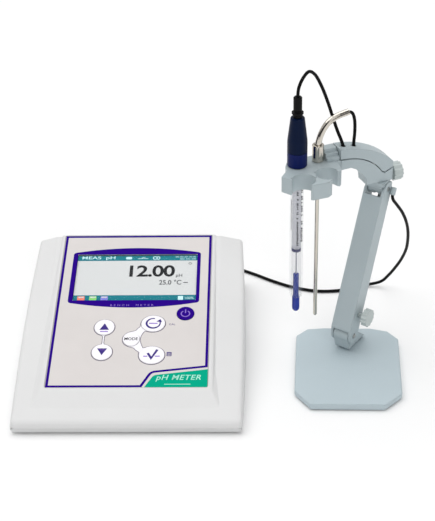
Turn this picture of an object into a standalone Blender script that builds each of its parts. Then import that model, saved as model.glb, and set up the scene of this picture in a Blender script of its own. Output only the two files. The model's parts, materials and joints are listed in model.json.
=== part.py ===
"""Bench pH meter with an electrode stand, a pH electrode and a temperature probe.

Lengths in the constants and helpers are millimetres; MM turns them into metres.
+X is to the right, +Y away from the user, +Z up, and everything stands on z = 0.
"""

import math

import bmesh
import bpy
from mathutils import Matrix, Vector

MM = 0.001
GAP = 0.3                     # clearance between touching solids

# ---------------------------------------------------------------- driving sizes
SHIFT_X = -67.75              # moves the meter and the stand so that the whole is centred
SHIFT_Y = -120.0

CASE_W = 191.0                # meter case
CASE_D = 229.0
SPLIT_Z = 6.0                 # parting line of the two case halves
CASE_FOOT_H = 1.3
LIP_Z = 12.0                  # height of the front lip
BACK_Z = 50.0                 # height of the deck at the back
CASE_BOW = 2.3                # how far the sides swell at half depth
CROWN = 4.4                   # rise of the deck towards the plateau at the back
WALL = 2.4
PANEL_TILT = math.radians(9.9)
PANEL_Y = 36.1                # front edge of the panel
PANEL_Z = 21.4
PANEL_X = -1.75               # middle of the film
PANEL_W = 136.2
PANEL_L = 193.0
RIM = 3.0                     # plateau left round the panel
DISPLAY_W = 109.6
DISPLAY_H = 61.0
DISPLAY_X = -1.4
DISPLAY_T = 136.3             # distance up the panel

KEYS = (                      # name, x, distance up the panel, half width, half height
    ("key_up", -24.9, 71.2, 8.8, 9.4),
    ("key_down", -24.9, 41.0, 8.8, 9.4),
    ("key_range", 17.3, 75.6, 10.4, 10.0),
    ("key_mode", -0.8, 56.7, 7.2, 8.4),
    ("key_enter", 17.9, 37.3, 11.0, 10.4),
    ("key_power", 45.0, 88.2, 7.6, 8.2),
)
KEY_T = 1.6
KEY_PROUD = 0.7

ARM_YAW = math.radians(33.0)  # plane of the arm's swing, turned from the Y axis
NECK_YAW = math.radians(66.0)
PLATE_TOP = 6.8
PIVOT = (183.9, 113.05, 22.5)
ARM_LEAN = math.radians(23.1)
ARM_LEN = 132.1
ARM_W = 18.8
ARM_WALL = 1.8
LINK_BACK = 8.0               # level link behind the arm's pivots

HEAD_TOP = 38.2               # above the elbow pivot
HEAD_H = 14.0
ELECTRODE_S = 77.3            # distance of the electrode from the swivel
PROBE_S = 58.4
LEAD_R = 1.4
KNOB_Z = 19.5                 # lower knob, along the arm
GLAND_AT = (ARM_W / 2 + 2.7, 4.9, ARM_LEN - 1.0)
PIVOT_TOP_Z = PIVOT[2] + ARM_LEN * math.cos(ARM_LEAN)

SCREW_PLACES = ((-86.0, 12.0, 13.0), (86.0, 12.0, 13.0), (-86.0, 214.0, 46.0), (86.0, 214.0, 46.0))
BOARD_Z = 10.5
BOARD_POSTS = ((-68.0, 100.0), (68.0, 100.0), (-68.0, 200.0), (68.0, 200.0))
BNC_X = -62.0                 # sockets in the back wall
TEMP_X = -36.0
DC_X = 36.0
USB_X = 62.0
PORT_Z = 26.0
PORT_HOLES = ((BNC_X, PORT_Z, 5.2), (TEMP_X, PORT_Z, 4.3), (DC_X, PORT_Z, 4.8))

MODEL = bpy.data.collections.new("ph_meter")
CUTTERS = bpy.data.collections.new("cutters")


# ---------------------------------------------------------------- helpers
def clear_scene():
    for old in list(bpy.data.objects):
        bpy.data.objects.remove(old, do_unlink=True)
    bpy.context.scene.collection.children.link(MODEL)
    bpy.context.scene.collection.children.link(CUTTERS)


def material(name, color, roughness, metallic=0.0):
    mat = bpy.data.materials.new(name)
    mat.use_nodes = True
    shader = mat.node_tree.nodes["Principled BSDF"]
    shader.inputs["Base Color"].default_value = (*color, 1.0)
    shader.inputs["Roughness"].default_value = roughness
    shader.inputs["Metallic"].default_value = metallic
    return mat


def frame(name, location, rotation, parent=None):
    """An empty that pieces are placed in; location is in millimetres."""
    empty = bpy.data.objects.new(name, None)
    empty.location = Vector(location) * MM
    empty.rotation_euler = rotation
    empty.parent = parent
    MODEL.objects.link(empty)
    return empty


def place(obj, parent=None, mat=None, smooth=True, cutter=False):
    for old in list(obj.users_collection):
        old.objects.unlink(obj)
    obj.parent = parent
    if cutter:
        CUTTERS.objects.link(obj)
        obj.hide_render = True
        obj.display_type = "WIRE"
        return obj
    MODEL.objects.link(obj)
    obj.data.materials.append(mat)
    if smooth:
        obj.data.shade_smooth()
        obj.data.set_sharp_from_angle(angle=math.radians(35.0))
    return obj


def box(name, low, high, parent=None, mat=None, cutter=False):
    """A box between two corners, in millimetres of its parent."""
    low = Vector(low) * MM
    high = Vector(high) * MM
    mesh = bpy.data.meshes.new(name)
    shape = bmesh.new()
    bmesh.ops.create_cube(shape, size=1.0)
    bmesh.ops.scale(shape, vec=high - low, verts=shape.verts)
    bmesh.ops.translate(shape, vec=(low + high) / 2, verts=shape.verts)
    shape.to_mesh(mesh)
    shape.free()
    return place(bpy.data.objects.new(name, mesh), parent, mat, False, cutter)


def wedge(name, floor, roof, parent=None, mat=None, cutter=False):
    """A box whose floor and roof are two rectangles, each (half width, front, back).

    front and back are (y, z) pairs, so the roof may slope and the sides may lean.
    """
    mesh = bpy.data.meshes.new(name)
    shape = bmesh.new()
    bmesh.ops.create_cube(shape, size=2.0)
    for vert in shape.verts:
        half, front, back = roof if vert.co.z > 0 else floor
        y, z = back if vert.co.y > 0 else front
        vert.co = Vector((half * vert.co.x, y, z)) * MM
    shape.to_mesh(mesh)
    shape.free()
    return place(bpy.data.objects.new(name, mesh), parent, mat, True, cutter)


def bowed_case(name, floor, roof, crown, parent, mat):
    """A case half whose long sides swell: floor and roof are (half width, front, back) as in wedge.

    The roof's middle, as wide as the plateau, rises to crown above its edges at the back.
    """
    rows = 8
    crown_half = 76.0
    mesh = bpy.data.meshes.new(name)
    shape = bmesh.new()
    sections = []
    for i in range(rows + 1):
        share = i / rows
        swell = CASE_BOW * (1 - (2 * share - 1) ** 2)
        low_y, low_z = (a + (b - a) * share for a, b in zip(floor[1], floor[2]))
        high_y, high_z = (a + (b - a) * share for a, b in zip(roof[1], roof[2]))
        low_x = floor[0] + swell
        high_x = roof[0] + swell
        top = high_z + crown * share
        section = [(-low_x, low_y, low_z), (-high_x, high_y, high_z)]
        section += [(PANEL_X - crown_half, high_y, top), (PANEL_X + crown_half, high_y, top)]
        section += [(high_x, high_y, high_z), (low_x, low_y, low_z)]
        sections.append([shape.verts.new(Vector(point) * MM) for point in section])
    for near, far in zip(sections, sections[1:]):
        for k in range(len(near)):
            step = (k + 1) % len(near)
            shape.faces.new((near[k], near[step], far[step], far[k]))
    shape.faces.new(sections[0])
    shape.faces.new(sections[-1])
    bmesh.ops.recalc_face_normals(shape, faces=shape.faces)
    bmesh.ops.triangulate(shape, faces=shape.faces)
    shape.to_mesh(mesh)
    shape.free()
    return place(bpy.data.objects.new(name, mesh), parent, mat)


def rod(name, radius, start, end, parent=None, mat=None, cutter=False, sides=32):
    """A cylinder between two points."""
    start = Vector(start) * MM
    end = Vector(end) * MM
    axis = end - start
    turn = Vector((0, 0, 1)).rotation_difference(axis).to_matrix().to_4x4()
    mesh = bpy.data.meshes.new(name)
    shape = bmesh.new()
    bmesh.ops.create_cone(
        shape, cap_ends=True, segments=sides, radius1=radius * MM, radius2=radius * MM, depth=axis.length
    )
    bmesh.ops.transform(shape, matrix=Matrix.Translation((start + end) / 2) @ turn, verts=shape.verts)
    shape.to_mesh(mesh)
    shape.free()
    return place(bpy.data.objects.new(name, mesh), parent, mat, True, cutter)


def curve_mesh(name, curve, matrix):
    """The closed mesh of a curve object, with its caps welded on."""
    maker = bpy.data.objects.new(name + "_curve", curve)
    bpy.context.scene.collection.objects.link(maker)
    bpy.context.view_layer.update()
    mesh = bpy.data.meshes.new_from_object(maker.evaluated_get(bpy.context.evaluated_depsgraph_get()))
    bpy.data.objects.remove(maker)
    shape = bmesh.new()
    shape.from_mesh(mesh)
    bmesh.ops.remove_doubles(shape, verts=shape.verts, dist=0.00001)
    bmesh.ops.transform(shape, matrix=matrix, verts=shape.verts)
    bmesh.ops.recalc_face_normals(shape, faces=shape.faces)
    shape.to_mesh(mesh)
    shape.free()
    mesh.name = name
    return mesh


def slab(name, outline, low, high, axes="xy", parent=None, mat=None, cutter=False):
    """A flat outline extruded from low to high along the axis that is left."""
    curve = bpy.data.curves.new(name, "CURVE")
    curve.dimensions = "2D"
    curve.fill_mode = "BOTH"
    curve.extrude = (high - low) / 2 * MM
    line = curve.splines.new("POLY")
    line.points.add(len(outline) - 1)
    line.use_cyclic_u = True
    for point, (a, b) in zip(line.points, outline):
        point.co = (a * MM, b * MM, 0.0, 1.0)
    middle = (low + high) / 2 * MM
    if axes == "xy":
        matrix = Matrix.Translation((0, 0, middle))
    elif axes == "xz":
        matrix = Matrix.Translation((0, middle, 0)) @ Matrix.Rotation(math.radians(90), 4, "X")
    else:
        stand_up = Matrix(((0, 0, 1, 0), (1, 0, 0, 0), (0, 1, 0, 0), (0, 0, 0, 1)))
        matrix = Matrix.Translation((middle, 0, 0)) @ stand_up
    return place(bpy.data.objects.new(name, curve_mesh(name, curve, matrix)), parent, mat, True, cutter)


def turned(name, profile, centre, parent=None, mat=None, steps=24, cutter=False):
    """A solid turned about a vertical axis; the profile runs down its outer side, top to bottom."""
    mesh = bpy.data.meshes.new(name)
    shape = bmesh.new()
    closed = profile[0] == profile[-1]
    verts = [shape.verts.new((r * MM, 0.0, z * MM)) for r, z in (profile[:-1] if closed else profile)]
    for upper, lower in zip(verts, verts[1:]):
        shape.edges.new((upper, lower))
    if closed:
        shape.edges.new((verts[-1], verts[0]))
    shape.to_mesh(mesh)
    shape.free()
    obj = place(bpy.data.objects.new(name, mesh), parent, mat, False, cutter)
    obj.location = Vector(centre) * MM
    screw = obj.modifiers.new("turn", "SCREW")
    screw.steps = steps
    screw.render_steps = steps
    screw.use_merge_vertices = True
    screw.merge_threshold = 0.00001
    screw.use_smooth_shade = True
    return obj


def ring(name, inner, outer, low, high, centre, parent=None, mat=None, steps=24):
    """A turned ring of rectangular section."""
    profile = ((inner, high), (outer, high), (outer, low), (inner, low), (inner, high))
    return turned(name, profile, centre, parent, mat, steps)


def smooth_path(route, spacing):
    """Points about spacing apart on a Catmull-Rom curve through the route's own points."""
    knots = [Vector(p) for p in route]
    knots = [2 * knots[0] - knots[1]] + knots + [2 * knots[-1] - knots[-2]]
    path = []
    for a, b, c, d in zip(knots, knots[1:], knots[2:], knots[3:]):
        count = max(1, round((c - b).length / spacing))
        for step in range(count):
            t = step / count
            path.append(
                0.5 * (2 * b + (c - a) * t + (2 * a - 5 * b + 4 * c - d) * t**2 + (3 * b - a - 3 * c + d) * t**3)
            )
    path.append(knots[-2])
    return path


def tube(name, route, radius, parent=None, mat=None, spacing=5.0, round_sides=2):
    """A round tube or lead along a smooth route."""
    curve = bpy.data.curves.new(name, "CURVE")
    curve.dimensions = "3D"
    curve.bevel_depth = radius * MM
    curve.bevel_resolution = round_sides
    curve.use_fill_caps = True
    path = smooth_path(route, spacing)
    line = curve.splines.new("POLY")
    line.points.add(len(path) - 1)
    for point, co in zip(line.points, path):
        point.co = (*(co * MM), 1.0)
    obj = bpy.data.objects.new(name, curve)
    obj.parent = parent
    MODEL.objects.link(obj)
    curve.materials.append(mat)
    return obj


def boolean(obj, other, operation):
    step = obj.modifiers.new(operation.lower(), "BOOLEAN")
    step.operation = operation
    step.object = other
    return obj


def cut(obj, *others):
    for other in others:
        boolean(obj, other, "DIFFERENCE")
    return obj


def join(obj, *others):
    for other in others:
        boolean(obj, other, "UNION")
    return obj


def bevel(obj, width, segments=2, angle=40.0):
    step = obj.modifiers.new("round", "BEVEL")
    step.width = width * MM
    step.segments = segments
    step.limit_method = "ANGLE"
    step.angle_limit = math.radians(angle)
    return obj


def arc(centre, radius, start, end, count):
    """Points of a circular arc, angles in degrees."""
    points = []
    for i in range(count + 1):
        angle = math.radians(start + (end - start) * i / count)
        points.append((centre[0] + radius * math.cos(angle), centre[1] + radius * math.sin(angle)))
    return points


def rounded(half_w, half_h, radius, centre):
    """A rectangle with round corners."""
    points = []
    for sx, sy, start in ((1, 1, 0), (-1, 1, 90), (-1, -1, 180), (1, -1, 270)):
        corner = (centre[0] + sx * (half_w - radius), centre[1] + sy * (half_h - radius))
        points += arc(corner, radius, start, start + 90, 4)
    return points


# ---------------------------------------------------------------- materials
CASE = material("case_plastic", (0.80, 0.80, 0.79), 0.42)
PANEL = material("panel_film", (0.76, 0.74, 0.73), 0.45)
KEY = material("key_film", (0.90, 0.90, 0.92), 0.40)
GLASS = material("display_glass", (0.85, 0.87, 0.88), 0.10)
SCREEN = material("screen", (0.35, 0.40, 0.42), 0.30)
BOARD = material("board", (0.05, 0.25, 0.12), 0.50)
RUBBER = material("rubber", (0.03, 0.03, 0.03), 0.80)
STEEL = material("steel", (0.62, 0.61, 0.58), 0.22, 1.0)
NICKEL = material("nickel", (0.70, 0.69, 0.66), 0.25, 1.0)
BLACK = material("black_plastic", (0.02, 0.02, 0.02), 0.45)
STAND = material("stand_plastic", (0.40, 0.47, 0.50), 0.45)
PLATE = material("stand_paint", (0.50, 0.58, 0.61), 0.50)
CAP = material("cap_plastic", (0.01, 0.03, 0.10), 0.35)
BAND = material("cap_band", (0.03, 0.04, 0.14), 0.35)
TUBE = material("electrode_body", (0.80, 0.82, 0.84), 0.10)
BLUE = material("blue_glass", (0.02, 0.06, 0.35), 0.25)
LEAD = material("lead", (0.01, 0.01, 0.01), 0.50)


# ---------------------------------------------------------------- meter
def key_outline(half_w, half_h, x, t, grow=0.0):
    points = arc((0, 0), 1.0, 0, 360 - 360 / 32, 31)
    return [(x + px * (half_w + grow), t + py * (half_h + grow)) for px, py in points]


def top_case(meter, panel):
    half = CASE_W / 2
    split = SPLIT_Z + 0.2
    shell = bowed_case(
        "top_case",
        (half, (0.0, split), (CASE_D, split)),
        (half - 1.0, (1.6, LIP_Z), (CASE_D - 0.8, BACK_Z)),
        CROWN,
        meter,
        CASE,
    )
    weights = shell.data.attributes.new("bevel_weight_edge", "FLOAT", "EDGE")
    for edge in shell.data.edges:
        ends = [shell.data.vertices[i].co / MM for i in edge.vertices]
        level = all(abs(end.z - split) < 0.1 for end in ends)
        sides = [abs(end.x) > half - 2.0 for end in ends]
        in_side = all(sides) and ends[0].x * ends[1].x > 0
        in_end = all(end.y < 2.0 for end in ends) or all(end.y > CASE_D - 1.0 for end in ends)
        slanted = in_end and in_side and abs(ends[0].z - ends[1].z) > 1.0
        along_side = in_side and all(end.z > LIP_Z - 1.0 for end in ends)
        along_end = in_end and all(end.z > LIP_Z - 1.0 for end in ends)
        weights.data[edge.index].value = 1.0 if not level and (slanted or along_side or along_end) else 0.0
    soft = shell.modifiers.new("soft_edges", "BEVEL")
    soft.width = 3.2 * MM
    soft.segments = 3
    soft.limit_method = "WEIGHT"
    rise = math.tan(PANEL_TILT)
    roof_front = PANEL_Y - RIM
    roof_back = CASE_D - 1.4
    roof_half = PANEL_W / 2 + RIM
    lift = 0.35
    middle = frame("plateau_frame", (PANEL_X, 0.0, 0.0), (0.0, 0.0, 0.0), meter)

    def roof_z(y):
        return PANEL_Z + (y - PANEL_Y) * rise + lift

    plateau = wedge(
        "plateau",
        (roof_half + 14.0, (2.4, 9.0), (CASE_D - 0.9, BACK_Z - 14.0)),
        (roof_half, (roof_front, roof_z(roof_front)), (roof_back, roof_z(roof_back))),
        middle,
        cutter=True,
    )
    bevel(plateau, 1.4, 3, 5.0)
    deck_space = wedge(
        "deck_space",
        (half - WALL, (WALL, SPLIT_Z - 3.0), (CASE_D - WALL, SPLIT_Z - 3.0)),
        (half - WALL - 1.5, (WALL + 3.0, LIP_Z - WALL), (CASE_D - WALL - 0.8, BACK_Z - WALL - 1.0)),
        meter,
        cutter=True,
    )
    plateau_space = wedge(
        "plateau_space",
        (roof_half - 2.0, (roof_front, SPLIT_Z - 3.0), (CASE_D - WALL - 1.0, SPLIT_Z - 3.0)),
        (roof_half - 3.0, (roof_front + 3.0, roof_z(roof_front) - 3.6), (roof_back - 4.0, roof_z(roof_back) - 4.4)),
        middle,
        cutter=True,
    )
    recess = slab(
        "panel_recess",
        rounded(PANEL_W / 2 + GAP, PANEL_L / 2 + GAP, 2.0, (PANEL_X, PANEL_L / 2)),
        -1.1,
        5.0,
        parent=panel,
        cutter=True,
    )
    window = slab(
        "display_opening",
        rounded(DISPLAY_W / 2 + 2.0, DISPLAY_H / 2 + 2.0, 3.0, (DISPLAY_X, DISPLAY_T)),
        -9.0,
        3.0,
        parent=panel,
        cutter=True,
    )
    join(shell, plateau)
    cut(shell, deck_space, plateau_space, recess, window)
    for name, x, t, half_w, half_h in KEYS:
        hole = slab(name + "_case_hole", key_outline(half_w, half_h, x, t, 0.6), -9.0, 3.0, parent=panel, cutter=True)
        cut(shell, hole)
    for i, (x, y, top) in enumerate(SCREW_PLACES):
        boss = rod(f"case_boss_{i}", 3.6, (x, y, SPLIT_Z + 0.2), (x, y, top), meter, cutter=True, sides=20)
        pilot = rod(f"boss_hole_{i}", 1.7, (x, y, 0.0), (x, y, SPLIT_Z + 5.0), meter, cutter=True, sides=16)
        join(shell, boss)
        cut(shell, pilot)
    for i, (x, z, radius) in enumerate(PORT_HOLES):
        port = rod(f"port_{i}", radius, (x, CASE_D - 9.0, z), (x, CASE_D + 3.0, z), meter, cutter=True)
        cut(shell, port)
    usb = box("usb_opening", (USB_X - 6.6, CASE_D - 9.0, 21.4), (USB_X + 6.6, CASE_D + 3.0, 27.6), meter, cutter=True)
    cut(shell, usb)


def bottom_case(meter):
    half = CASE_W / 2 - 0.5
    tray = bowed_case(
        "bottom_case",
        (half - 1.4, (2.0, CASE_FOOT_H + GAP), (CASE_D - 2.0, CASE_FOOT_H + GAP)),
        (half, (0.5, SPLIT_Z - 0.1), (CASE_D - 0.5, SPLIT_Z - 0.1)),
        0.0,
        meter,
        CASE,
    )
    pocket = box("tray_pocket", (-half + 3.0, 4.6, 3.6), (half - 3.0, CASE_D - 4.6, 9.0), meter, cutter=True)
    cut(tray, pocket)
    for i, (x, y, _top) in enumerate(SCREW_PLACES):
        post = rod(f"tray_post_{i}", 4.6, (x, y, 3.0), (x, y, SPLIT_Z - 0.1), meter, cutter=True, sides=20)
        hole = rod(f"tray_hole_{i}", 1.8, (x, y, 0.0), (x, y, 9.0), meter, cutter=True, sides=16)
        head = rod(f"tray_head_{i}", 3.4, (x, y, 0.0), (x, y, 3.4), meter, cutter=True, sides=20)
        join(tray, post)
        cut(tray, hole, head)
    for i, (x, y) in enumerate(BOARD_POSTS):
        join(tray, rod(f"board_post_{i}", 3.0, (x, y, 3.0), (x, y, BOARD_Z - GAP), meter, cutter=True, sides=16))


def meter_inside(meter, panel):
    box("main_board", (-74.0, 92.0, BOARD_Z), (74.0, 208.0, BOARD_Z + 1.6), meter, BOARD)
    box("key_board", (-40.0, 22.0, -7.0), (60.0, 98.0, -5.4), panel, BOARD)
    module = box(
        "display_module",
        (DISPLAY_X - 60.0, DISPLAY_T - 35.0, -8.6),
        (DISPLAY_X + 60.0, DISPLAY_T + 35.0, -5.0),
        panel,
        SCREEN,
    )
    stage = box(
        "screen_stage",
        (DISPLAY_X - DISPLAY_W / 2, DISPLAY_T - DISPLAY_H / 2, -5.6),
        (DISPLAY_X + DISPLAY_W / 2, DISPLAY_T + DISPLAY_H / 2, -1.6),
        panel,
        cutter=True,
    )
    join(module, stage)


def meter_panel(panel):
    overlay = slab(
        "panel_overlay", rounded(PANEL_W / 2, PANEL_L / 2, 2.0, (PANEL_X, PANEL_L / 2)), -0.8, 0.0, parent=panel, mat=PANEL
    )
    opening = slab(
        "overlay_opening",
        rounded(DISPLAY_W / 2 + 0.4, DISPLAY_H / 2 + 0.4, 2.4, (DISPLAY_X, DISPLAY_T)),
        -3.0,
        3.0,
        parent=panel,
        cutter=True,
    )
    cut(overlay, opening)
    slab(
        "display_window",
        rounded(DISPLAY_W / 2, DISPLAY_H / 2, 2.0, (DISPLAY_X, DISPLAY_T)),
        -1.3,
        -0.1,
        parent=panel,
        mat=GLASS,
    )
    for name, x, t, half_w, half_h in KEYS:
        hole = slab(name + "_hole", key_outline(half_w, half_h, x, t, GAP), -3.0, 3.0, parent=panel, cutter=True)
        cut(overlay, hole)
        key = slab(name, key_outline(half_w, half_h, x, t), KEY_PROUD - KEY_T, KEY_PROUD, parent=panel, mat=KEY)
        bevel(key, 0.35, 1, 50.0)


def meter_feet(meter):
    for i, (x, y) in enumerate(((-78.0, 18.0), (78.0, 18.0), (-78.0, 206.0), (78.0, 206.0)), 1):
        foot = rod(f"meter_foot_{i}", 6.0, (x, y, 0.0), (x, y, CASE_FOOT_H), meter, RUBBER, sides=20)
        bevel(foot, 0.3, 1, 50.0)
    for i, (x, y, _top) in enumerate(SCREW_PLACES, 1):
        head_low = CASE_FOOT_H + GAP + 0.4
        profile = (
            (0.0, SPLIT_Z + 3.8),
            (1.4, SPLIT_Z + 3.8),
            (1.4, 3.1),
            (2.9, 3.1),
            (2.9, head_low),
            (1.2, head_low),
            (1.2, head_low + 0.7),
            (0.0, head_low + 0.7),
        )
        turned(f"case_screw_{i}", profile, (x, y, 0.0), meter, STEEL, 16)


def meter_sockets(meter):
    wall_out = CASE_D - 0.2
    back = frame("back_frame", (0.0, wall_out, 0.0), (math.radians(-90), 0.0, 0.0), meter)

    def socket(name, x, z, profile, mat, steps=20):
        return turned(name, profile, (x, -z, 0.0), back, mat, steps)

    socket(
        "bnc_socket",
        BNC_X,
        PORT_Z,
        (
            (1.6, 11.0), (4.6, 11.0), (4.8, 10.4), (4.8, 2.4), (7.0, 2.4), (7.0, 0.4),
            (4.9, 0.4), (4.9, -7.0), (1.0, -7.0), (1.0, -4.0), (1.6, -4.0), (1.6, 11.0),
        ),
        NICKEL,
    )
    socket(
        "temp_socket",
        TEMP_X,
        PORT_Z,
        (
            (1.8, 7.0), (3.9, 7.0), (4.1, 6.6), (4.1, 2.2), (5.8, 2.2), (5.8, 0.4),
            (4.0, 0.4), (4.0, -7.0), (1.0, -7.0), (1.0, -3.0), (1.8, -3.0), (1.8, 7.0),
        ),
        NICKEL,
    )
    socket(
        "dc_jack",
        DC_X,
        PORT_Z,
        (
            (0.0, 0.2), (0.9, 0.2), (0.9, -5.6), (2.8, -5.6), (2.8, 1.4), (5.9, 1.4), (6.2, 1.1), (6.2, 0.4),
            (4.5, 0.4), (4.5, -7.0), (0.0, -7.0),
        ),
        BLACK,
    )
    usb = box("usb_port", (USB_X - 6.2, CASE_D - 8.0, 21.9), (USB_X + 6.2, CASE_D + 0.6, 27.1), meter, STEEL)
    mouth = box("usb_mouth", (USB_X - 5.6, CASE_D - 6.0, 22.5), (USB_X + 5.6, CASE_D + 3.0, 26.5), meter, cutter=True)
    cut(usb, mouth)


# ---------------------------------------------------------------- stand
def plate_outline(inset):
    corners = ((139.0, 51.0), (151.5, 32.0), (214.5, 31.0), (229.5, 46.5), (232.6, 126.0), (224.0, 138.0),
               (209.0, 142.6), (168.0, 143.6), (152.5, 142.0), (142.6, 132.0))
    middle = Vector((186.0, 88.0))
    outline = []
    for corner in corners:
        away = Vector(corner) - middle
        outline.append(tuple(middle + away * (1 - inset / away.length)))
    return outline


def stand_base(scene_frame, foot):
    plate = slab("base_plate", plate_outline(0.0), 1.1, PLATE_TOP, parent=scene_frame, mat=PLATE)
    bevel(plate, 1.5, 3, 20.0)
    slab("base_pad", plate_outline(5.0), 0.0, 0.9, parent=scene_frame, mat=RUBBER)
    floor = PLATE_TOP - PIVOT[2] + GAP
    profile = [(-3.0, floor), (24.0, floor), (24.0, floor + 2.0), (12.5, -4.0)]
    profile += arc((LINK_BACK, 0.0), 3.6, -30, 70, 5) + arc((0.0, 0.0), 7.0, 52, 215, 12)
    bracket = slab("foot_bracket", profile, -7.0, 7.0, "yz", foot, STAND)
    slot = box("link_slot", (-2.2, 2.7, -7.5), (2.2, 26.0, 12.0), foot, cutter=True)
    bore = rod("foot_bore", 2.1, (-9.0, 0.0, 0.0), (9.0, 0.0, 0.0), foot, cutter=True, sides=24)
    link_bore = rod("foot_link_bore", 1.1, (-9.0, LINK_BACK, 0.0), (9.0, LINK_BACK, 0.0), foot, cutter=True, sides=16)
    step_z = floor + 2.4
    front_step = box("bracket_front_step", (-9.0, -10.0, floor - 1.0), (9.0, 0.4, step_z), foot, cutter=True)
    left_step = box("bracket_left_step", (-9.0, -10.0, floor - 1.0), (-5.4, 26.0, step_z), foot, cutter=True)
    right_step = box("bracket_right_step", (5.4, -10.0, floor - 1.0), (9.0, 26.0, step_z), foot, cutter=True)
    cut(bracket, slot, bore, link_bore, front_step, left_step, right_step)
    pin = rod("lower_pivot_pin", 2.0, (-10.6, 0.0, 0.0), (10.6, 0.0, 0.0), foot, STEEL, sides=24)
    bevel(pin, 0.4, 2, 50.0)
    rod("lower_link_pin", 1.0, (-6.6, LINK_BACK, 0.0), (6.6, LINK_BACK, 0.0), foot, STEEL, sides=16)


def arm_parts(arm):
    front_low = 9.5
    front_high = 8.2
    cheek = 7.2
    top = ARM_LEN + cheek - 0.7
    profile = [(-front_low, 5.0)]
    profile += arc((0.0, 0.0), cheek, 200, 360, 12)
    profile += [(cheek - 0.4, 12.0), (6.4, ARM_LEN - 6.0)]
    profile += arc((0.0, ARM_LEN), 6.5, 0, 140, 10)
    profile += [(-front_high, top - 9.0)]
    shell = slab("arm_channel", profile, -ARM_W / 2, ARM_W / 2, "yz", arm, STAND)
    bevel(shell, 0.9, 2, 50.0)
    half = ARM_W / 2 - ARM_WALL
    space = [(-front_low + ARM_WALL, -12.0), (14.0, -12.0), (14.0, top + 6.0), (-front_high + 2.0, top + 6.0)]
    hollow = slab("arm_hollow", space, -half, half, "yz", arm, cutter=True)
    cut(shell, hollow)
    mouth = box("arm_mouth", (-half, -14.0, -12.0), (half, 0.0, 3.5), arm, cutter=True)
    window = box("arm_window", (-half, -14.0, ARM_LEN - 7.2), (half, -4.0, ARM_LEN + 9.0), arm, cutter=True)
    cut(shell, mouth, window)
    for label, z in (("low", 0.0), ("high", ARM_LEN)):
        cut(shell, rod(f"arm_bore_{label}", 2.1, (-14.0, 0.0, z), (14.0, 0.0, z), arm, cutter=True, sides=24))
    cut(shell, rod("arm_knob_bore", 2.3, (4.0, 0.5, KNOB_Z), (14.0, 0.5, KNOB_Z), arm, cutter=True, sides=20))
    spring_route = []
    turns = 12
    for i in range(turns * 8 + 1):
        angle = 2 * math.pi * i / 8
        spring_route.append((2.5 * math.cos(angle), -3.4 + 2.5 * math.sin(angle), 70.0 + 53.6 * i / (turns * 8)))
    tube("balance_spring", spring_route, 0.55, arm, STEEL, spacing=9.0, round_sides=1)
    pin_end = ARM_W / 2 + 0.3
    rod("upper_pivot_pin", 2.0, (-pin_end, 0.0, ARM_LEN), (pin_end, 0.0, ARM_LEN), arm, STEEL, sides=24)
    gland = ((0.0, 3.2), (1.9, 3.2), (2.4, 2.6), (2.4, -3.2), (1.65, -3.2), (1.65, 1.6), (0.0, 1.6))
    turned("lead_gland", gland, GLAND_AT, arm, STAND, 20)


def level_link(foot):
    """The bar behind the arm's pivots that keeps the elbow level."""
    turned_foot = frame("link_frame", (0.0, LINK_BACK, 0.0), (-ARM_LEAN, 0.0, 0.0), foot)
    outline = arc((0.0, 0.0), 1.9, 180, 360, 8) + arc((0.0, ARM_LEN), 2.2, 0, 180, 8)
    bar = slab("level_link", outline, -1.4, 1.4, "yz", turned_foot, STEEL)
    low = rod("link_low_bore", 1.1, (-4.0, 0.0, 0.0), (4.0, 0.0, 0.0), turned_foot, cutter=True, sides=16)
    high = rod("link_high_bore", 1.5, (-4.0, 0.0, ARM_LEN), (4.0, 0.0, ARM_LEN), turned_foot, cutter=True, sides=16)
    cut(bar, low, high)


def knob(name, centre, mat, parent, reach, radius, length):
    """A fluted knob on the local X axis with a stud that reaches back towards the arm."""
    flutes = 12
    outline = []
    for i in range(flutes * 5):
        angle = 2 * math.pi * i / (flutes * 5)
        depth = 0.5 - 0.5 * math.cos(flutes * angle)
        outline.append((math.cos(angle) * (radius - depth), math.sin(angle) * (radius - depth)))
    holder = frame(name + "_frame", centre, (0.0, 0.0, 0.0), parent)
    wheel = slab(name, outline, 0.0, length, "yz", holder, mat)
    bevel(wheel, 1.0, 1, 60.0)
    hub = rod(name + "_hub", radius * 0.42, (-2.2, 0.0, 0.0), (1.0, 0.0, 0.0), holder, cutter=True, sides=24)
    stud = rod(name + "_stud", 1.9, (-reach, 0.0, 0.0), (1.0, 0.0, 0.0), holder, cutter=True, sides=20)
    join(wheel, hub, stud)
    return holder


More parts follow.
